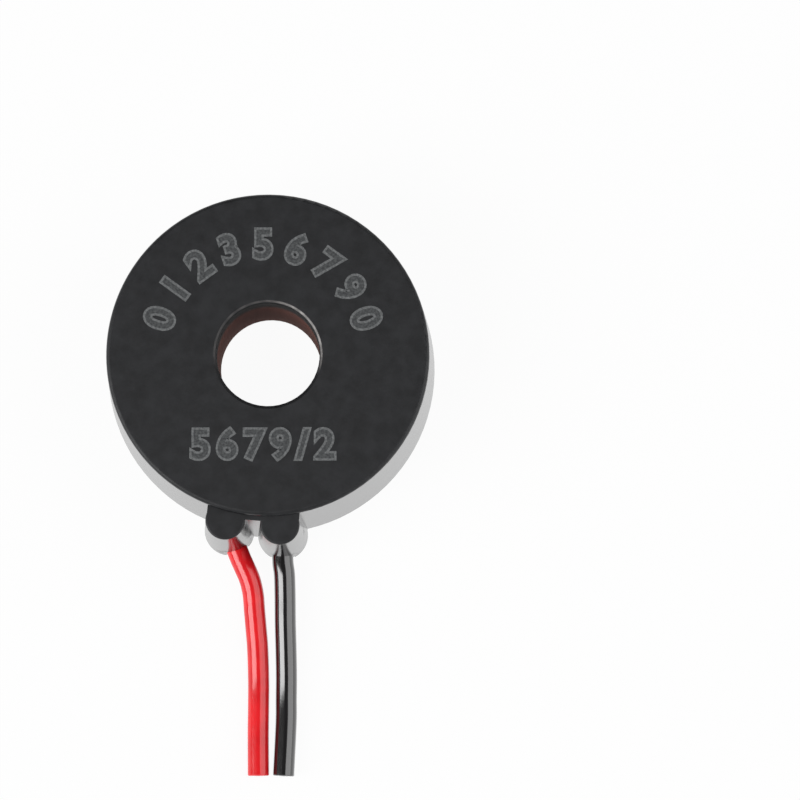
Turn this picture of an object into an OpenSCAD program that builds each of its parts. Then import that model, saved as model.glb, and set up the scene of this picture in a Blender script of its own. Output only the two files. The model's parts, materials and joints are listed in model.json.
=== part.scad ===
// Through-hole current transformer in a round moulded case, with two flying leads.
// The case is a cup that is open at the back, where it stands on z = 0. Its front face looks up,
// the axis of its hole is the Z axis, and the two leads leave it towards -Y.

/* [Case] */
// Diameter of the front face
face_d = 15.6; // [15:0.1:20]
// Thickness of the case, from its back rim to its front face
case_h = 7; // [6.4:0.1:10]
// Draft of the outer wall, in degrees
case_draft = 2.5; // [1:0.5:4]
// Rounding of the outer edge of the front face
edge_round = 0.2; // [0.1:0.05:0.4]
// Thickness of the outer wall at the front
outer_wall = 0.8; // [0.6:0.05:1]
// Thickness of the front wall
front_wall = 0.8; // [0.5:0.05:1.2]
// Rounding of the cavity's edge inside the front wall
cavity_corner = 0.3; // [0.1:0.05:0.5]

/* [Hole] */
// Diameter of the hole for the primary wire
bore_d = 5; // [4:0.1:5.4]
// Chamfer at the front end of the hole
bore_chamfer = 0.15; // [0.05:0.05:0.3]
// Thickness of the wall round the hole
tube_wall = 0.6; // [0.4:0.05:0.8]

/* [Cable bosses] */
// Diameter of a boss at its face
boss_d = 1.9; // [1.8:0.02:2.4]
// Draft of the bosses and of the web between them, in degrees
boss_draft = 2.5; // [0.5:0.5:3]
// Distance between the middles of the bosses
boss_pitch = 2.65; // [2.5:0.05:4]
// Distance from the edge of the front face out to the middle of a boss
boss_out = 0.33; // [0.2:0.01:0.5]
// Depth of a boss's face below the front face
boss_step = 0.4; // [0.2:0.05:1]
// Rounding of the edge of a boss's face
boss_round = 0.1; // [0.05:0.05:0.2]
// Distance that the web between the bosses stands back from the line of their middles
web_back = 0.1; // [0:0.05:0.3]
// Distance that the ends of the web stand in from the sides of the bosses
web_in = 0.05; // [0.02:0.01:0.2]
// Room in the slot on each side of a lead
slot_clearance = 0.06; // [0.02:0.01:0.15]

/* [Core] */
// Room between the core and the walls of its box
core_clearance = 0.05; // [0.02:0.01:0.1]

/* [Core box] */
// Thickness of the walls of the core box
box_wall = 0.25; // [0.2:0.01:0.35]
// Rounding of the outer edges of the core box
box_corner = 0.2; // [0.1:0.01:0.25]
// Thickness of the lid's plate
lid_t = 0.25; // [0.25:0.01:0.4]
// Depth of the lid's plug inside the box
lid_plug = 0.2; // [0.1:0.01:0.3]
// Room between the lid's plug and the walls of the box
lid_clearance = 0.03; // [0.02:0.01:0.06]

/* [Secondary winding] */
// Build of the winding on the outside of the box
winding_outer = 0.45; // [0.3:0.01:0.6]
// Build of the winding in the hole of the box
winding_inner = 0.6; // [0.4:0.01:0.7]
// Build of the winding over each end of the box
winding_end = 0.45; // [0.3:0.01:0.6]
// Number of wire bundles that show as ridges
bundle_count = 36; // [24:1:38]
// Width of a bundle
bundle_w = 0.46; // [0.3:0.02:0.5]
// Height of a bundle's ridge
bundle_h = 0.06; // [0.03:0.01:0.1]
// Angle that is left free between the start and the end of the winding
winding_gap = 26; // [16:1:40]
// Room for resin between the winding and the wall round the hole
winding_room = 0.2; // [0.1:0.01:0.3]

/* [Tape] */
// Thickness of the tape
tape_t = 0.08; // [0.04:0.01:0.12]
// Width of the tape
tape_w = 3; // [2:0.1:3.6]
// Angle over which the tape overlaps itself, in degrees
tape_overlap = 45; // [20:5:90]
// Room for resin between the tape and the outer wall
tape_room = 0.4; // [0.3:0.01:0.6]

/* [Leads] */
// Diameter of a lead over its insulation
lead_d = 1.05; // [0.8:0.05:1.2]
// Diameter of a lead's bundle of strands
strands_d = 0.4; // [0.3:0.01:0.5]
// Length of bare strands between the insulation and the joint
strands_l = 0.4; // [0.3:0.01:0.6]

/* [Joints] */
// Depth of the space behind the winding, for the joints
joint_space = 1.7; // [1.7:0.05:2]
// Diameter of a soldered joint
solder_d = 0.6; // [0.5:0.01:0.7]
// Length of a soldered joint
solder_l = 1; // [0.8:0.05:1.2]
// Wall of the insulating sleeve on a joint
sleeve_wall = 0.1; // [0.06:0.01:0.15]
// Room between a joint and its sleeve
sleeve_clearance = 0.04; // [0.02:0.01:0.06]
// Distance that the sleeve reaches past each end of its joint
sleeve_over = 0.2; // [0.1:0.05:0.3]
// Diameter of the wire ends of the winding
tail_d = 0.16; // [0.12:0.01:0.24]
// Straight length of a wire end, between its joint and its bend
tail_l = 0.4; // [0.3:0.05:0.6]
// Radius of the bend that turns a wire end up to the winding
tail_bend = 0.3; // [0.2:0.05:0.4]

/* [Resin] */
// Depth of the resin's surface below the back rim
resin_recess = 0.3; // [0.1:0.05:0.4]

/* [Hidden] */
$fn = 64;
// How far a cutting shape runs past the surface that it cuts
over = 1;

// Outside of the case
face_r = face_d / 2;
back_r = face_r + case_h * tan(case_draft);
bore_r = bore_d / 2;
tube_r = bore_r + tube_wall;
front_inside_z = case_h - front_wall;

// Cable bosses
boss_x = boss_pitch / 2;
boss_y = -(face_r + boss_out);
boss_h = case_h - boss_step;
boss_r = boss_d / 2;
boss_spread = boss_h * tan(boss_draft);

// Layers of the wound core, from both walls inwards
tape_r = face_r - outer_wall - tape_room;
tape_in_r = tape_r - tape_t;
// The corners of the flat bundles reach the tape, and the middle of a bundle stays a little short of it
wound_out_r = sqrt(tape_in_r ^ 2 - (bundle_w / 2) ^ 2);
bundle_rise = tape_in_r - wound_out_r;
wound_in_r = tube_r + winding_room;
box_out_r = wound_out_r - winding_outer;
box_in_r = wound_in_r + winding_inner;
core_out_r = box_out_r - box_wall - core_clearance;
core_in_r = box_in_r + box_wall + core_clearance;

// Layers of the wound core, from the back up to the front wall that it lies against
wound_low_z = joint_space;
wound_high_z = front_inside_z;
box_low_z = wound_low_z + winding_end;
box_high_z = wound_high_z - winding_end;
lid_z = box_high_z - lid_t;
core_low_z = box_low_z + box_wall + core_clearance;
core_high_z = lid_z - lid_plug - core_clearance;

// Winding
winding_corner = box_corner + winding_end;
winding_arc = 360 - winding_gap;
winding_from = -90 + winding_gap / 2;
bundle_pitch = winding_arc / bundle_count;
tape_low_z = (wound_low_z + wound_high_z - tape_w) / 2;
tape_high_z = tape_low_z + tape_w;
tape_from = 90 - tape_overlap / 2;

// Middle line of each lead, measured from the axis of its boss and from the back.
// The first two points are the ends of the straight stretch in the slot.
red_route = [
    [-0.5, 1, 1.1], [0.6, -1.2, 1.1], [0.87, -1.7, 1.1], [1.25, -2.4, 1.05], [1.48, -3.1, 1],
    [1.63, -3.95, 0.9], [1.8, -4.9, 0.8], [1.95, -5.8, 0.7], [2.15, -7.5, 0.55], [2.35, -9.9, 0.53],
    [2.55, -11.95, 0.53],
];
black_route = [
    [-0.1, 1, 1.1], [0.12, -1.2, 1.1], [0.28, -2, 1.1], [0.4, -3, 1], [0.53, -4.3, 0.9],
    [0.68, -5.6, 0.75], [0.82, -6.9, 0.6], [0.92, -8.1, 0.53], [1.02, -9.3, 0.53], [1.13, -11.85, 0.53],
];
lead_r = lead_d / 2;
lead_sides = 8;
red_boss = [-boss_x, boss_y, 0];
black_boss = [boss_x, boss_y, 0];
red_path = [for (p = red_route) red_boss + p];
black_path = [for (p = black_route) black_boss + p];

// Joints, in line with the inner ends of the leads
solder_r = solder_d / 2;
sleeve_r = solder_r + sleeve_clearance + sleeve_wall;
tail_r = tail_d / 2;
solder_x = strands_l;
sleeve_x = solder_x - sleeve_over;
sleeve_l = solder_l + 2 * sleeve_over;

// A rounded rectangle in the plane of a turned section
module ring_section(in_r, out_r, low_z, high_z, corner) {
    translate([in_r + corner, low_z]) square([out_r - in_r - 2 * corner, high_z - low_z]);
    translate([in_r, low_z + corner]) square([out_r - in_r, high_z - low_z - 2 * corner]);
    for (r = [in_r + corner, out_r - corner], z = [low_z + corner, high_z - corner])
        translate([r, z]) circle(r = corner);
}

// The section of the wound core, drawn in from its outer layer by a distance
module wound_section(inset) {
    ring_section(
        wound_in_r + inset, wound_out_r - inset, wound_low_z + inset, wound_high_z - inset,
        winding_corner - inset
    );
}

// A square-edged ring
module ring(in_r, out_r, low_z, high_z, from = 0, arc = 360) {
    rotate([0, 0, from]) rotate_extrude(angle = arc)
        translate([in_r, low_z]) square([out_r - in_r, high_z - low_z]);
}

// Puts what is drawn along +X at the inner end of a lead, in line with it
module in_line(path) {
    run = path[0] - path[1];
    translate(path[0]) rotate([0, 0, atan2(run.y, run.x)]) children();
}

// A round rod along +X
module rod(from, to, r) {
    translate([from, 0, 0]) rotate([0, 90, 0]) cylinder(h = to - from, r = r);
}

// The slot that takes a lead from the back, through a boss and the wall behind it
module lead_slot(boss, path) {
    run = path[1] - path[0];
    half = lead_r + slot_clearance;
    reach = norm(run) / 2 + over / 2;
    translate([boss.x, boss.y, path[0].z]) rotate([0, 0, atan2(run.y, run.x)]) {
        rotate([0, 90, 0]) translate([0, 0, -reach]) cylinder(h = 2 * reach, r = half);
        translate([-reach, -half, -path[0].z - over]) cube([2 * reach, 2 * half, path[0].z + over]);
    }
}

// The web between the bosses, with drafted walls. Its ends fill the corners between bosses and case.
module boss_web() {
    half_w = boss_x + boss_r - web_in;
    outer_y = boss_y + web_back;
    inner_y = outer_wall - face_r;
    intersection() {
        rotate([90, 0, 0]) linear_extrude(height = back_r + boss_d) polygon([
            [-half_w - boss_spread, 0], [half_w + boss_spread, 0], [half_w, boss_h], [-half_w, boss_h],
        ]);
        rotate([90, 0, 90]) linear_extrude(height = 2 * (half_w + over), center = true) polygon([
            [outer_y - boss_spread, 0], [inner_y, 0], [inner_y, boss_h], [outer_y, boss_h],
        ]);
    }
}

// A round body that stands on the back plane. Its drafted wall and its front face, of radius r where
// their lines meet, run into each other in an arc of radius edge.
module moulded_post(r, h, draft, edge) {
    arc_x = r + edge * tan(draft) - edge / cos(draft);
    rotate_extrude() {
        polygon([
            [0, 0], [r + h * tan(draft), 0], [arc_x + edge * cos(draft), h - edge + edge * sin(draft)],
            [arc_x, h], [0, h],
        ]);
        translate([arc_x, h - edge]) circle(r = edge);
    }
}

module case_outside() {
    moulded_post(face_r, case_h, case_draft, edge_round);
    for (x = [-boss_x, boss_x])
        translate([x, boss_y, 0]) moulded_post(boss_r, boss_h, boss_draft, boss_round);
    boss_web();
}

// The ring-shaped hollow of the case, with its drafted outer wall, and the two slots
module case_hollow() {
    top_r = face_r - outer_wall;
    low_r = top_r + (front_inside_z + over) * tan(case_draft);
    corner_z = front_inside_z - cavity_corner;
    corner_r = top_r + cavity_corner * tan(case_draft);
    rotate_extrude() {
        polygon([
            [tube_r, -over], [low_r, -over], [corner_r, corner_z], [corner_r - cavity_corner, corner_z],
            [corner_r - cavity_corner, front_inside_z], [tube_r, front_inside_z],
        ]);
        translate([corner_r - cavity_corner, corner_z]) circle(r = cavity_corner);
    }
    lead_slot(red_boss, red_path);
    lead_slot(black_boss, black_path);
}

// The hole, with its chamfer in the front face
module primary_hole() {
    translate([0, 0, -over]) cylinder(h = case_h + 2 * over, r = bore_r);
    translate([0, 0, case_h - bore_chamfer]) cylinder(h = over, r1 = bore_r, r2 = bore_r + over);
}

module case() {
    color("#2e2f31") difference() {
        case_outside();
        case_hollow();
        primary_hole();
    }
}

// The room that the wound core takes up in the resin
module wound_room() {
    rotate_extrude() wound_section(-bundle_rise);
    ring(wound_out_r - winding_corner, tape_r, tape_low_z, tape_high_z);
    ring(wound_out_r - winding_corner / 2, tape_r + tape_t, tape_low_z, tape_high_z, tape_from, tape_overlap);
}

module potting() {
    color("#1d1e20") difference() {
        intersection() {
            case_outside();
            case_hollow();
        }
        translate([0, 0, -over]) cylinder(h = over + resin_recess, r = back_r + boss_d);
        wound_room();
        joint_room(red_path);
        joint_room(black_path);
    }
}

// Everything that the resin closes round between one lead and the winding
module joint_room(path) {
    in_line(path) {
        rod(-norm(path[1] - path[0]) - over, 0, lead_r);
        strands();
        rod(sleeve_x, sleeve_x + sleeve_l, sleeve_r);
        wire_end(path[0].z);
    }
}

module core() {
    color("#8d9296") ring(core_in_r, core_out_r, core_low_z, core_high_z);
}

module core_box() {
    color("#e4dfcf") difference() {
        rotate_extrude() ring_section(box_in_r, box_out_r, box_low_z, box_high_z, box_corner);
        ring(box_in_r - over, box_out_r + over, lid_z, box_high_z + over);
        ring(box_in_r + box_wall, box_out_r - box_wall, box_low_z + box_wall, box_high_z + over);
    }
}

module core_lid() {
    plug_gap = box_wall + lid_clearance;
    color("#d8d2be") {
        intersection() {
            rotate_extrude() ring_section(box_in_r, box_out_r, box_low_z, box_high_z, box_corner);
            ring(box_in_r - over, box_out_r + over, lid_z, box_high_z + over);
        }
        ring(box_in_r + plug_gap, box_out_r - plug_gap, lid_z - lid_plug, lid_z + lid_t / 2);
    }
}

// The wound layers lie round the core box, and the upper layer shows as a row of bundles.
// A bundle keeps its width, so the bundles touch in the hole and fan out round the outside.
module secondary_winding() {
    color("#b0622c") difference() {
        union() {
            rotate([0, 0, winding_from]) rotate_extrude(angle = winding_arc) wound_section(bundle_h);
            for (i = [0:bundle_count - 1])
                rotate([0, 0, winding_from + (i + 0.5) * bundle_pitch]) rotate([90, 0, 0])
                    linear_extrude(height = bundle_w, center = true) difference() {
                        wound_section(0);
                        wound_section(2 * bundle_h);
                    }
        }
        rotate_extrude() ring_section(box_in_r, box_out_r, box_low_z, box_high_z, box_corner);
    }
}

module winding_tape() {
    color("#d9a520") {
        ring(tape_in_r, tape_r, tape_low_z, tape_high_z);
        ring(tape_r - tape_t / 2, tape_r + tape_t, tape_low_z, tape_high_z, tape_from, tape_overlap);
    }
}

// A wire end of the winding: out of its joint and up to the winding, at the height of its lead
module wire_end(z) {
    bend_x = solder_x + solder_l + tail_l;
    rod(solder_x + solder_l, bend_x, tail_r);
    translate([bend_x, 0, tail_bend]) rotate([90, 0, 0]) rotate([0, 0, -90])
        rotate_extrude(angle = 90) translate([tail_bend, 0]) circle(r = tail_r);
    translate([bend_x + tail_bend, 0, tail_bend]) cylinder(h = wound_low_z - z - tail_bend, r = tail_r);
}

module start_wire() {
    color("#b0622c") in_line(red_path) wire_end(red_path[0].z);
}

module finish_wire() {
    color("#b0622c") in_line(black_path) wire_end(black_path[0].z);
}

// A soldered joint with rounded ends
module solder() {
    round_r = solder_r / 2;
    color("#c3c7ca") translate([solder_x, 0, 0]) rotate([0, 90, 0]) rotate_extrude() {
        square([solder_r - round_r, solder_l]);
        translate([0, round_r]) square([solder_r, solder_l - 2 * round_r]);
        for (z = [round_r, solder_l - round_r]) translate([solder_r - round_r, z]) circle(r = round_r);
    }
}

module solder_red() {
    in_line(red_path) solder();
}

module solder_black() {
    in_line(black_path) solder();
}

// An insulating sleeve, open at both ends
module sleeve() {
    difference() {
        rod(sleeve_x, sleeve_x + sleeve_l, sleeve_r);
        rod(sleeve_x - over, sleeve_x + sleeve_l + over, sleeve_r - sleeve_wall);
    }
}

module sleeve_red() {
    color("#a8383a") in_line(red_path) sleeve();
}

module sleeve_black() {
    color("#242527") in_line(black_path) sleeve();
}

// The bare end of a lead's strands
module strands() {
    rod(0, solder_x, strands_d / 2);
}

module strands_red() {
    color("#c9a27c") in_line(red_path) strands();
}

module strands_black() {
    color("#c9a27c") in_line(black_path) strands();
}

// One ring of a lead's tube at point i of its path, square to the way that the path runs there
function lead_ring(path, i) =
    let (
        last = len(path) - 1,
        run = path[min(i + 1, last)] - path[max(i - 1, 0)],
        along = run / norm(run),
        level = cross([0, 0, 1], along),
        side = level / norm(level),
        up = cross(along, side)
    )
    [for (k = [0:lead_sides - 1])
        let (a = (k + 0.5) * 360 / lead_sides)
        path[i] + lead_r * (cos(a) * side + sin(a) * up)];

module lead(path) {
    rings = len(path);
    points = [for (i = [0:rings - 1]) each lead_ring(path, i)];
    walls = [for (i = [0:rings - 2], k = [0:lead_sides - 1])
        let (a = i * lead_sides + k, b = i * lead_sides + (k + 1) % lead_sides)
        each [[a, a + lead_sides, b], [b, a + lead_sides, b + lead_sides]]];
    start = [for (k = [0:lead_sides - 1]) k];
    end = [for (k = [lead_sides - 1:-1:0]) (rings - 1) * lead_sides + k];
    polyhedron(points, concat(walls, [start, end]));
}

module lead_red() {
    color("#ee2d33") lead(red_path);
}

module lead_black() {
    color("#17181a") lead(black_path);
}

case();
potting();
core();
core_box();
core_lid();
secondary_winding();
winding_tape();
start_wire();
finish_wire();
solder_red();
solder_black();
sleeve_red();
sleeve_black();
strands_red();
strands_black();
lead_red();
lead_black();
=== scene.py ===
import json
import math

import bmesh
import bpy
from mathutils import Matrix, Vector


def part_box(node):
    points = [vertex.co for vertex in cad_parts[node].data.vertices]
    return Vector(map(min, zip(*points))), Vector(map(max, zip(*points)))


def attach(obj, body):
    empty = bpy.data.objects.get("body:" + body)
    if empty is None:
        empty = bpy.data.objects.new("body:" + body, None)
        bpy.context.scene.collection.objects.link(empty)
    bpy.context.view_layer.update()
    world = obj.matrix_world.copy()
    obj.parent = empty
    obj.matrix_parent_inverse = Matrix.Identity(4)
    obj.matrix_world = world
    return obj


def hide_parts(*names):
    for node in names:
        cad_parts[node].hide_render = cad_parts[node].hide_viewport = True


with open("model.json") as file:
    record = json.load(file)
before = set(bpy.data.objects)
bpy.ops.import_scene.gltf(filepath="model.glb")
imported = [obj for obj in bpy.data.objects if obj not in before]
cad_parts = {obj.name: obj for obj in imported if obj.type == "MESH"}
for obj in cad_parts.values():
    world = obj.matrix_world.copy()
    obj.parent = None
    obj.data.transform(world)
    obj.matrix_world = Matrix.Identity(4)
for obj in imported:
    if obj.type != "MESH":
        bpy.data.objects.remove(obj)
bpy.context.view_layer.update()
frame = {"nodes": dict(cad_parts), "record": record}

MM = 0.001

# Sizes of the object, in metres
FACE_D = 15.6 * MM
LEAD_D = 1.05 * MM
BOSS_PITCH = 2.65 * MM
BOSS_OUT = 0.33 * MM
BOSS_Y = -(FACE_D / 2 + BOSS_OUT)
BORE_R = frame["record"]["mounts"][0]["dims"]["r_mm"] * MM
FACE_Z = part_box("case")[1].z

# The way the upright print is turned on the face, which is also the camera's roll
PRINT_TURN = math.radians(5.15)

# Camera: where it aims in the plane of the face, and from where
AIM = Vector((6.55, -1.64, 7.0)) * MM
TILT_FROM_AXIS = math.radians(6.0)
TILT_SIDEWAYS = math.radians(4.5)
DISTANCE = 230 * MM
LENS_MM = 214.8
SENSOR_MM = 36
CLIP_NEAR = 0.01
CLIP_FAR = 10


def make_camera():
    data = bpy.data.cameras.new("camera")
    data.lens = LENS_MM
    data.sensor_width = SENSOR_MM
    data.clip_start = CLIP_NEAR
    data.clip_end = CLIP_FAR
    away = Vector((
        math.sin(TILT_FROM_AXIS) * math.sin(TILT_SIDEWAYS),
        -math.sin(TILT_FROM_AXIS) * math.cos(TILT_SIDEWAYS),
        math.cos(TILT_FROM_AXIS),
    ))
    right = Vector((0, 1, 0)).cross(away).normalized()
    up = away.cross(right)
    turned = Matrix.Rotation(PRINT_TURN, 3, away)
    axes = Matrix((turned @ right, turned @ up, away)).transposed()
    camera = bpy.data.objects.new("camera", data)
    camera.matrix_world = Matrix.Translation(AIM + away * DISTANCE) @ axes.to_4x4()
    bpy.context.scene.collection.objects.link(camera)
    bpy.context.scene.camera = camera


# ---------------------------------------------------------------- materials


class Nodes:
    """A material's node tree, with short calls to add a node and to join sockets."""

    def __init__(self, name):
        self.material = bpy.data.materials.new(name)
        self.material.use_nodes = True
        self.tree = self.material.node_tree
        self.tree.nodes.clear()
        self.out = self.add("ShaderNodeOutputMaterial")

    def add(self, kind, **settings):
        node = self.tree.nodes.new(kind)
        for key, value in settings.items():
            setattr(node, key, value)
        return node

    def join(self, source, target):
        self.tree.links.new(source, target)

    def place(self):
        """Object coordinates in millimetres."""
        coords = self.add("ShaderNodeTexCoord")
        scaled = self.add("ShaderNodeVectorMath", operation="SCALE")
        scaled.inputs["Scale"].default_value = 1 / MM
        self.join(coords.outputs["Object"], scaled.inputs[0])
        return scaled.outputs[0]

    def noise(self, scale, detail=3, roughness=0.5):
        """A noise from 0 to 1, scale cells to the millimetre."""
        node = self.add("ShaderNodeTexNoise")
        node.inputs["Scale"].default_value = scale
        node.inputs["Detail"].default_value = detail
        node.inputs["Roughness"].default_value = roughness
        self.join(self.place(), node.inputs["Vector"])
        return node.outputs["Fac"]

    def spread(self, value, low, high, from_low=0.35, from_high=0.65):
        """Maps a value's middle range onto low to high."""
        node = self.add("ShaderNodeMapRange")
        ends = {"From Min": from_low, "From Max": from_high, "To Min": low, "To Max": high}
        for key, number in ends.items():
            node.inputs[key].default_value = number
        self.join(value, node.inputs["Value"])
        return node.outputs["Result"]

    def feed(self, value, socket):
        """Puts a number or a colour on a socket, or joins another socket to it."""
        if isinstance(value, tuple):
            socket.default_value = (*value, 1)
        elif isinstance(value, (float, int)):
            socket.default_value = value
        else:
            self.join(value, socket)

    def blend(self, factor, first, second, kind="RGBA"):
        """A colour, or with kind FLOAT a number, between two, by a factor."""
        node = self.add("ShaderNodeMix", data_type=kind)
        self.join(factor, node.inputs["Factor"])
        self.feed(first, node.inputs["A"])
        self.feed(second, node.inputs["B"])
        return node.outputs["Result"]

    def maths(self, operation, first, second):
        node = self.add("ShaderNodeMath", operation=operation)
        self.feed(first, node.inputs[0])
        self.feed(second, node.inputs[1])
        return node.outputs["Value"]

    def times(self, first, second):
        return self.maths("MULTIPLY", first, second)

    def reach(self, vector, direction):
        """How far a vector reaches in a direction."""
        node = self.add("ShaderNodeVectorMath", operation="DOT_PRODUCT")
        self.join(vector, node.inputs[0])
        node.inputs[1].default_value = direction
        return node.outputs["Value"]

    def bump(self, height, strength, distance):
        node = self.add("ShaderNodeBump")
        node.inputs["Strength"].default_value = strength
        node.inputs["Distance"].default_value = distance
        self.join(height, node.inputs["Height"])
        return node.outputs["Normal"]

    def surface(self, colour, roughness, normal, **sockets):
        """The principled shader; plain numbers go straight onto its own sockets."""
        shader = self.shader = self.add("ShaderNodeBsdfPrincipled")
        self.feed(colour, shader.inputs["Base Color"])
        self.feed(roughness, shader.inputs["Roughness"])
        self.join(normal, shader.inputs["Normal"])
        for name, value in sockets.items():
            shader.inputs[name.replace("_", " ")].default_value = value
        self.join(shader.outputs["BSDF"], self.out.inputs["Surface"])
        return self.material


def linear(red, green, blue):
    """A colour given in 0 to 255 screen values, as linear light."""
    def one(value):
        value /= 255
        return value / 12.92 if value <= 0.04045 else ((value + 0.055) / 1.055) ** 2.4
    return (one(red), one(green), one(blue))


# Soft edges of the zones round the hole, in millimetres past its radius: where its wall ends, and
# where the painted highlight on the ring of its chamfer starts and ends
WALL_ENDS = (0.005, 0.015)
RING_STARTS = (0.03, 0.06)
RING_ENDS = (0.12, 0.15)
# Direction in which the painted highlight on the ring is brightest, and the soft edge of its lower
# end, in radii of the hole
RING_TOWARDS = (0.8, 0.6)
RING_FADES = (-0.35, 0)
# Depths below the face, in millimetres, between which the wall of the hole turns brown
HOLE_TURNS_BROWN = (1.2, 2.2)
# How far up a surface looks, from a polished wall to the textured face
FACE_LOOKS_UP = (0.4, 0.7)
WALL_ROUGHNESS = 0.22
HOLE_ROUGHNESS = 0.9
WALL_COAT = 0.3


def moulded_black():
    """Case plastic: a matt mottled face, polished walls, a painted highlight on the upper side of
    the chamfer ring round the hole, and a dull brown wall in the hole.
    """
    n = Nodes("moulded_black")
    mottle = n.spread(n.noise(1.4, 4, 0.6), 0, 1)
    plain = n.blend(mottle, linear(14, 15, 18), linear(29, 30, 33))

    # distance from the axis tells the wall of the hole and the ring on its chamfer from the rest
    flat = n.add("ShaderNodeVectorMath", operation="MULTIPLY")
    n.join(n.place(), flat.inputs[0])
    flat.inputs[1].default_value = (1, 1, 0)
    length = n.add("ShaderNodeVectorMath", operation="LENGTH")
    n.join(flat.outputs[0], length.inputs[0])
    radius = length.outputs["Value"]
    bore = BORE_R / MM
    in_hole = n.spread(radius, 1, 0, *(bore + past for past in WALL_ENDS))
    in_ring = n.spread(radius, 1, 0, *(bore + past for past in RING_ENDS))
    off_wall = n.spread(radius, 0, 1, *(bore + past for past in RING_STARTS))
    # painted highlight on the chamfer ring: lighter towards one side, fading out on its lower half,
    # uneven with noise
    ring_highlight = n.times(n.times(in_ring, off_wall), n.spread(n.noise(2.4, 3), 0.4, 1))
    lean = n.reach(flat.outputs[0], (*(part / bore for part in RING_TOWARDS), 0))
    bright = n.spread(lean, 0, 1, 0.5, 0.97)
    highlight_colour = n.blend(bright, linear(84, 82, 82), linear(174, 170, 168))
    rise = n.reach(flat.outputs[0], (0, 1 / bore, 0))
    upper = n.spread(rise, 0, 1, *RING_FADES)
    with_highlight = n.blend(n.blend(upper, 0, ring_highlight, "FLOAT"), plain, highlight_colour)

    # the hole is black near the face and brown further in
    height = n.add("ShaderNodeSeparateXYZ")
    n.join(n.place(), height.inputs[0])
    black_to, brown_from = HOLE_TURNS_BROWN
    depth = n.spread(
        height.outputs["Z"], 1, 0, FACE_Z / MM - brown_from, FACE_Z / MM - black_to
    )
    hole = n.blend(depth, linear(10, 10, 11), linear(112, 63, 50))
    colour = n.blend(in_hole, with_highlight, hole)

    # the way that the surface faces tells the mould's textured face from its polished walls
    coords = n.add("ShaderNodeTexCoord")
    facing = n.add("ShaderNodeSeparateXYZ")
    n.join(coords.outputs["Normal"], facing.inputs[0])
    on_face = n.spread(facing.outputs["Z"], 0, 1, *FACE_LOOKS_UP)
    matt = n.spread(n.noise(2.2, 3), 0.5, 0.58)
    walls = n.blend(in_hole, WALL_ROUGHNESS, HOLE_ROUGHNESS, "FLOAT")
    roughness = n.blend(on_face, walls, matt, "FLOAT")
    grain = n.times(n.noise(26, 2), on_face)
    normal = n.bump(grain, 0.12, 0.00001)
    case = n.surface(
        colour, roughness, normal, Specular_IOR_Level=0.5, IOR=1.5, Coat_Roughness=0.16
    )
    polish = n.spread(on_face, WALL_COAT, 0, 0, 1)
    outside = n.spread(in_hole, 1, 0, 0, 1)
    n.join(n.times(polish, outside), n.shader.inputs["Coat Weight"])
    return case


def wire_insulation(name, colour, dark, roughness, gloss, coat):
    """PVC with slight waviness along the lead, under a clear gloss."""
    n = Nodes(name)
    tone = n.blend(n.spread(n.noise(0.9, 2), 0, 1), dark, colour)
    normal = n.bump(n.noise(2.5, 2), 0.1, 0.00003)
    return n.surface(
        tone, roughness, normal,
        Specular_IOR_Level=gloss, Coat_Weight=coat, Coat_Roughness=0.11, Coat_IOR=1.6,
    )


def plain_finish(name, colour, dark, roughness, metallic=0.0, scale=3.0, depth=0.00001):
    """A finish with two close tones and a fine uneven surface."""
    n = Nodes(name)
    tone = n.blend(n.spread(n.noise(scale, 3), 0, 1), dark, colour)
    normal = n.bump(n.noise(scale * 6, 2), 0.2, depth)
    return n.surface(tone, roughness, normal, Metallic=metallic)


def paint(obj, material):
    obj.data.materials.clear()
    obj.data.materials.append(material)


# ------------------------------------------------------------------- leads

# Middle line of each lead, from the axis of its boss, in millimetres: the source's own points
RED_ROUTE = [
    (-0.5, 1, 1.1), (0.6, -1.2, 1.1), (0.87, -1.7, 1.1), (1.25, -2.4, 1.05), (1.48, -3.1, 1),
    (1.63, -3.95, 0.9), (1.8, -4.9, 0.8), (1.95, -5.8, 0.7), (2.15, -7.5, 0.55),
    (2.35, -9.9, 0.53), (2.55, -11.95, 0.53),
]
BLACK_ROUTE = [
    (-0.1, 1, 1.1), (0.12, -1.2, 1.1), (0.28, -2, 1.1), (0.4, -3, 1), (0.53, -4.3, 0.9),
    (0.68, -5.6, 0.75), (0.82, -6.9, 0.6), (0.92, -8.1, 0.53), (1.02, -9.3, 0.53),
    (1.13, -11.85, 0.53),
]
LEAD_SIDES = 32
STEPS_A_SPAN = 6
# Bevel of the cut end, and the hollow in it for the strands
CUT_EDGE = 0.04 * MM
CORE_R = 0.21 * MM
STRAND_R = 0.068 * MM
STRAND_SIDES = 12
STRANDS_ROUND = 6
STRANDS_BACK = 0.02 * MM
SMOOTH_ANGLE = math.radians(35)


def smooth_line(points, steps):
    """A curve through the points, with evenly turning tangents."""
    ends = [points[0] * 2 - points[1], *points, points[-1] * 2 - points[-2]]
    line = []
    for a, b, c, d in zip(ends, ends[1:], ends[2:], ends[3:]):
        for i in range(steps):
            t = i / steps
            line.append((
                2 * b + (c - a) * t + (2 * a - 5 * b + 4 * c - d) * t ** 2
                + (3 * b - a - 3 * c + d) * t ** 3
            ) / 2)
    return [*line, points[-1]]


def ring_round(line, i, radius, sides):
    """Corners of a ring round point i of a line, square to it."""
    along = (line[min(i + 1, len(line) - 1)] - line[max(i - 1, 0)]).normalized()
    side = Vector((0, 0, 1)).cross(along).normalized()
    up = along.cross(side)
    angles = [2 * math.pi * k / sides for k in range(sides)]
    return [line[i] + radius * (math.cos(a) * side + math.sin(a) * up) for a in angles]


def add_band(mesh, first, second):
    for k in range(len(first)):
        n = (k + 1) % len(first)
        mesh.faces.new((first[k], first[n], second[n], second[k]))


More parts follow.
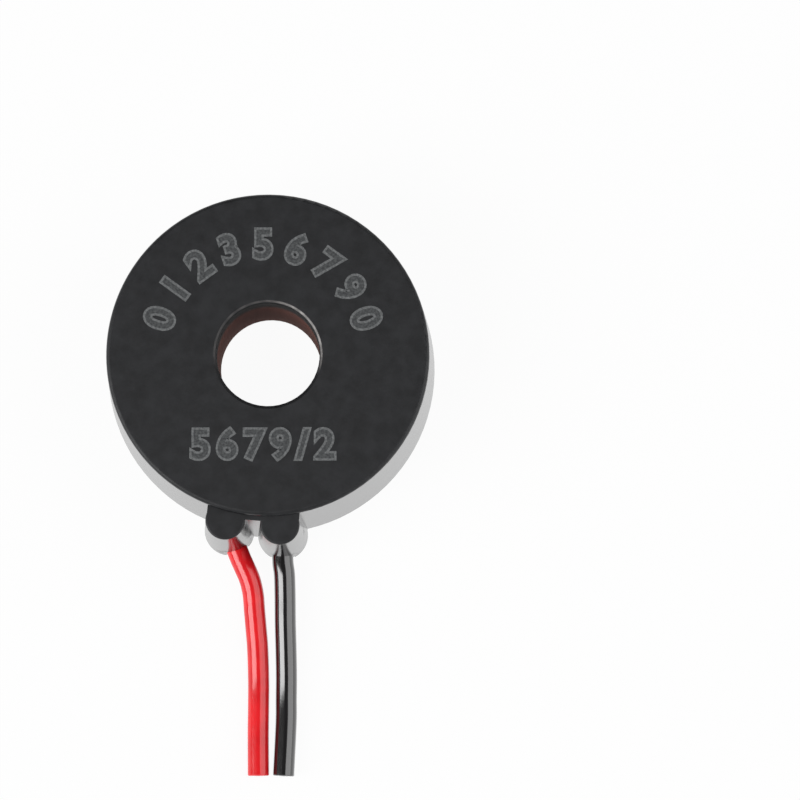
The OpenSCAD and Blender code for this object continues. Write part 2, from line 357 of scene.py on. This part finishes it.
def add_tube(mesh, line, profile, sides):
    """A closed tube: profile lists (point of the line, radius) from the first end to the last."""
    rings = [[mesh.verts.new(p) for p in ring_round(line, i, r, sides)] for i, r in profile]
    for first, second in zip(rings, rings[1:]):
        add_band(mesh, first, second)
    mesh.faces.new(rings[0][::-1])
    mesh.faces.new(rings[-1])


def finish_mesh(mesh, name):
    bmesh.ops.recalc_face_normals(mesh, faces=mesh.faces)
    data = bpy.data.meshes.new(name)
    mesh.to_mesh(data)
    mesh.free()
    obj = bpy.data.objects.new(name, data)
    bpy.context.scene.collection.objects.link(obj)
    for face in data.polygons:
        face.use_smooth = True
    data.set_sharp_from_angle(angle=SMOOTH_ANGLE)
    return obj


def make_lead(name, boss_x, route, material, copper):
    """A lead with a cut end, in which the strands show, and the strands themselves."""
    boss = Vector((boss_x, BOSS_Y, 0))
    line = smooth_line([boss + Vector(p) * MM for p in route], STEPS_A_SPAN)
    last = len(line) - 1
    tip = line[last] - (line[last] - line[last - 1]).normalized() * CUT_EDGE
    profile = [
        *((i, LEAD_D / 2) for i in range(last)), (last, LEAD_D / 2),
        (last + 1, LEAD_D / 2 - CUT_EDGE), (last + 1, CORE_R), (last - 2, CORE_R),
    ]
    mesh = bmesh.new()
    add_tube(mesh, [*line[:last], tip, line[last]], profile, LEAD_SIDES)
    jacket = finish_mesh(mesh, name)
    paint(jacket, material)
    mesh = bmesh.new()
    for k in range(STRANDS_ROUND + 1):
        turn = 2 * math.pi * k / STRANDS_ROUND
        reach = 0 if k == STRANDS_ROUND else 2 * STRAND_R
        offset = Vector((math.cos(turn), 0, math.sin(turn))) * reach
        strand = [p + offset for p in line[last - 2:last + 1]]
        strand[-1] = strand[-1] - (strand[-1] - strand[-2]).normalized() * STRANDS_BACK
        add_tube(mesh, strand, [(i, STRAND_R) for i in range(3)], STRAND_SIDES)
    strands = finish_mesh(mesh, name + "_strands")
    paint(strands, copper)
    for piece in (jacket, strands):
        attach(piece, "root")
    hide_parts(name)


# ------------------------------------------------------------------- print

# The print lies a little off the middle of the face
PRINT_SHIFT = Vector((-0.25, 0.1)) * MM
ARC_MARKS = "012356790"
ARC_RADIUS = 5.17 * MM
ARC_FROM = math.radians(162)
ARC_TO = math.radians(18)
LINE_MARKS = "5679/2"
LINE_DROP = 4.55 * MM
LINE_SPACING = 1.32
MARK_HEIGHT = 1.42 * MM
INK_T = 0.006 * MM
# How far a stroke's rim and its darker middle stand out from the font's own outline
RIM_SPREAD = 0.14 * MM
FILL_SPREAD = 0.03 * MM
# Height of a capital in the built-in font, as a share of the text size
CAPITAL_SHARE = 0.73


def mark(text, name, centre, turn, material, spread, lift):
    """A closed thin mesh of some characters, centred on a point of the face."""
    data = bpy.data.curves.new(name, "FONT")
    data.body = text
    data.size = MARK_HEIGHT / CAPITAL_SHARE
    data.align_x = "CENTER"
    data.align_y = "CENTER"
    data.offset = spread
    data.extrude = INK_T / 2
    data.resolution_u = 6
    data.space_character = LINE_SPACING
    source = bpy.data.objects.new(name, data)
    bpy.context.scene.collection.objects.link(source)
    bpy.context.view_layer.update()
    depsgraph = bpy.context.evaluated_depsgraph_get()
    mesh = bpy.data.meshes.new_from_object(source.evaluated_get(depsgraph))
    bpy.data.objects.remove(source)
    obj = bpy.data.objects.new(name, mesh)
    bpy.context.scene.collection.objects.link(obj)
    place = Matrix.Translation(Vector((*centre, FACE_Z + lift))) @ Matrix.Rotation(turn, 4, "Z")
    mesh.transform(place)
    paint(obj, material)
    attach(obj, "root")


def make_print(rim, fill):
    """Plain figures in an arc above the hole and in a line below it."""
    spots = []
    for k, figure in enumerate(ARC_MARKS):
        angle = ARC_FROM + (ARC_TO - ARC_FROM) * k / (len(ARC_MARKS) - 1) + PRINT_TURN
        centre = PRINT_SHIFT + ARC_RADIUS * Vector((math.cos(angle), math.sin(angle)))
        spots.append((figure, f"figure_{k + 1}", centre, angle - math.pi / 2))
    below = PRINT_SHIFT + LINE_DROP * Vector((math.sin(PRINT_TURN), -math.cos(PRINT_TURN)))
    spots.append((LINE_MARKS, "figure_line", below, PRINT_TURN))
    for text, name, centre, turn in spots:
        mark(text, name + "_rim", centre, turn, rim, RIM_SPREAD, INK_T / 2)
        mark(text, name + "_fill", centre, turn, fill, FILL_SPREAD, INK_T)


# ------------------------------------------------------------ floor and lights

FLOOR_SIZE = 1.2
FLOOR_DROP = 0.02 * MM
FLOOR_COLOUR = (0.9, 0.9, 0.9, 1)
# Share of plain white in what the camera and glossy surfaces see of the floor
WHITE_SHARE = 0.95
# Light of the surroundings at the horizon, and from a low height up to overhead
HORIZON_LEVEL = 1.2
OVERHEAD_LEVEL = 0.1
HORIZON_HEIGHT = 0.25
SOFTBOX_REACH = 0.4
# Name, side, tilt from overhead in degrees, distance along Y, width, height and power
SOFTBOXES = (
    ("key", -1, 44, -0.175, 0.25, 0.38, 1.7),
    ("fill", 1, 50, 0.0, 0.34, 0.46, 0.95),
)


def make_floor():
    """A white floor, clear from below, that the camera and glossy surfaces see lifted to white."""
    mesh = bmesh.new()
    bmesh.ops.create_grid(mesh, x_segments=1, y_segments=1, size=FLOOR_SIZE)
    bmesh.ops.translate(mesh, verts=mesh.verts, vec=(0, 0, -FLOOR_DROP))
    floor = finish_mesh(mesh, "floor")
    n = Nodes("floor")
    shader = n.add("ShaderNodeBsdfDiffuse")
    shader.inputs["Color"].default_value = FLOOR_COLOUR
    white = n.add("ShaderNodeEmission")
    white.inputs["Strength"].default_value = 1
    rays = n.add("ShaderNodeLightPath")
    seen = rays.outputs["Is Camera Ray"]
    for ray in ("Is Glossy Ray", "Is Transmission Ray"):
        seen = n.maths("MAXIMUM", seen, rays.outputs[ray])
    mix = n.add("ShaderNodeMixShader")
    n.join(n.times(seen, WHITE_SHARE), mix.inputs["Fac"])
    n.join(shader.outputs[0], mix.inputs[1])
    n.join(white.outputs[0], mix.inputs[2])
    side = n.add("ShaderNodeNewGeometry")
    clear = n.add("ShaderNodeBsdfTransparent")
    open_below = n.add("ShaderNodeMixShader")
    n.join(side.outputs["Backfacing"], open_below.inputs["Fac"])
    n.join(mix.outputs[0], open_below.inputs[1])
    n.join(clear.outputs[0], open_below.inputs[2])
    n.join(open_below.outputs[0], n.out.inputs["Surface"])
    paint(floor, n.material)


def make_softbox(name, side, tilt, along, width, height, power):
    """A soft light on the left (-1) or right (1) that is tilted down from overhead."""
    data = bpy.data.lights.new(name, "AREA")
    data.shape = "RECTANGLE"
    data.size = width
    data.size_y = height
    data.energy = power
    light = bpy.data.objects.new(name, data)
    angle = math.radians(tilt)
    away = Vector((side * math.sin(angle), 0, math.cos(angle)))
    light.location = away * SOFTBOX_REACH + Vector((0, along, 0))
    light.rotation_euler = (-away).to_track_quat("-Z", "Y").to_euler()
    bpy.context.scene.collection.objects.link(light)


def make_world():
    """Plain white surroundings, as in a light tent that is open at the top."""
    world = bpy.data.worlds.new("world")
    bpy.context.scene.world = world
    world.use_nodes = True
    tree = world.node_tree
    coords = tree.nodes.new("ShaderNodeTexCoord")
    height = tree.nodes.new("ShaderNodeSeparateXYZ")
    level = tree.nodes.new("ShaderNodeMapRange")
    level.inputs["From Max"].default_value = HORIZON_HEIGHT
    level.inputs["To Min"].default_value = HORIZON_LEVEL
    level.inputs["To Max"].default_value = OVERHEAD_LEVEL
    background = tree.nodes["Background"]
    background.inputs["Color"].default_value = (1, 1, 1, 1)
    tree.links.new(coords.outputs["Generated"], height.inputs[0])
    tree.links.new(height.outputs["Z"], level.inputs["Value"])
    # the camera sees plain white
    rays = tree.nodes.new("ShaderNodeLightPath")
    seen = tree.nodes.new("ShaderNodeMix")
    seen.inputs["B"].default_value = 1
    tree.links.new(rays.outputs["Is Camera Ray"], seen.inputs["Factor"])
    tree.links.new(level.outputs["Result"], seen.inputs["A"])
    tree.links.new(seen.outputs["Result"], background.inputs["Strength"])


# --------------------------------------------------------------------- build

make_camera()

copper = plain_finish("tinned_strands", linear(214, 160, 110), linear(180, 120, 80), 0.3, 1.0)
red = wire_insulation("red_insulation", linear(244, 36, 42), linear(226, 28, 35), 0.14, 0.6, 0.0)
black = wire_insulation("black_insulation", linear(16, 14, 16), linear(9, 8, 9), 0.14, 0.7, 1.0)
make_lead("lead_red", -BOSS_PITCH / 2, RED_ROUTE, red, copper)
make_lead("lead_black", BOSS_PITCH / 2, BLACK_ROUTE, black, copper)

paint(frame["nodes"]["case"], moulded_black())
INNER = {
    "potting": plain_finish(
        "potting_resin", linear(26, 26, 28), linear(18, 18, 20), 0.16, 0.0, 1.5, 0.00003
    ),
    "core": plain_finish(
        "core_alloy", linear(150, 154, 158), linear(126, 130, 134), 0.35, 1.0, 8.0
    ),
    "core_box": plain_finish("box_plastic", linear(228, 223, 207), linear(216, 210, 192), 0.55),
    "winding_tape": plain_finish("polyester_tape", linear(222, 168, 36), linear(206, 150, 28), 0.2),
    "secondary_winding": plain_finish(
        "enamelled_wire", linear(186, 104, 52), linear(150, 76, 34), 0.25, 0.8, 12.0
    ),
    "solder_red": plain_finish(
        "solder", linear(196, 199, 202), linear(170, 173, 176), 0.3, 1.0, 5.0
    ),
    "sleeve_red": plain_finish("red_sleeve", linear(168, 56, 58), linear(150, 46, 48), 0.5),
    "sleeve_black": plain_finish("black_sleeve", linear(36, 37, 39), linear(28, 29, 31), 0.5),
    "strands_red": copper,
}
SAME_FINISH = {
    "core_lid": "core_box", "start_wire": "secondary_winding", "finish_wire": "secondary_winding",
    "solder_black": "solder_red", "strands_black": "strands_red",
}
for node, material in INNER.items():
    paint(frame["nodes"][node], material)
for node, like in SAME_FINISH.items():
    paint(frame["nodes"][node], INNER[like])

rim_ink = plain_finish("ink_rim", linear(116, 118, 119), linear(84, 86, 87), 0.7, 0.0, 9.0)
fill_ink = plain_finish("ink_fill", linear(80, 82, 83), linear(52, 54, 56), 0.7, 0.0, 9.0)
make_print(rim_ink, fill_ink)

make_floor()
make_world()
for softbox in SOFTBOXES:
    make_softbox(*softbox)

bpy.context.scene.view_settings.view_transform = "Standard"
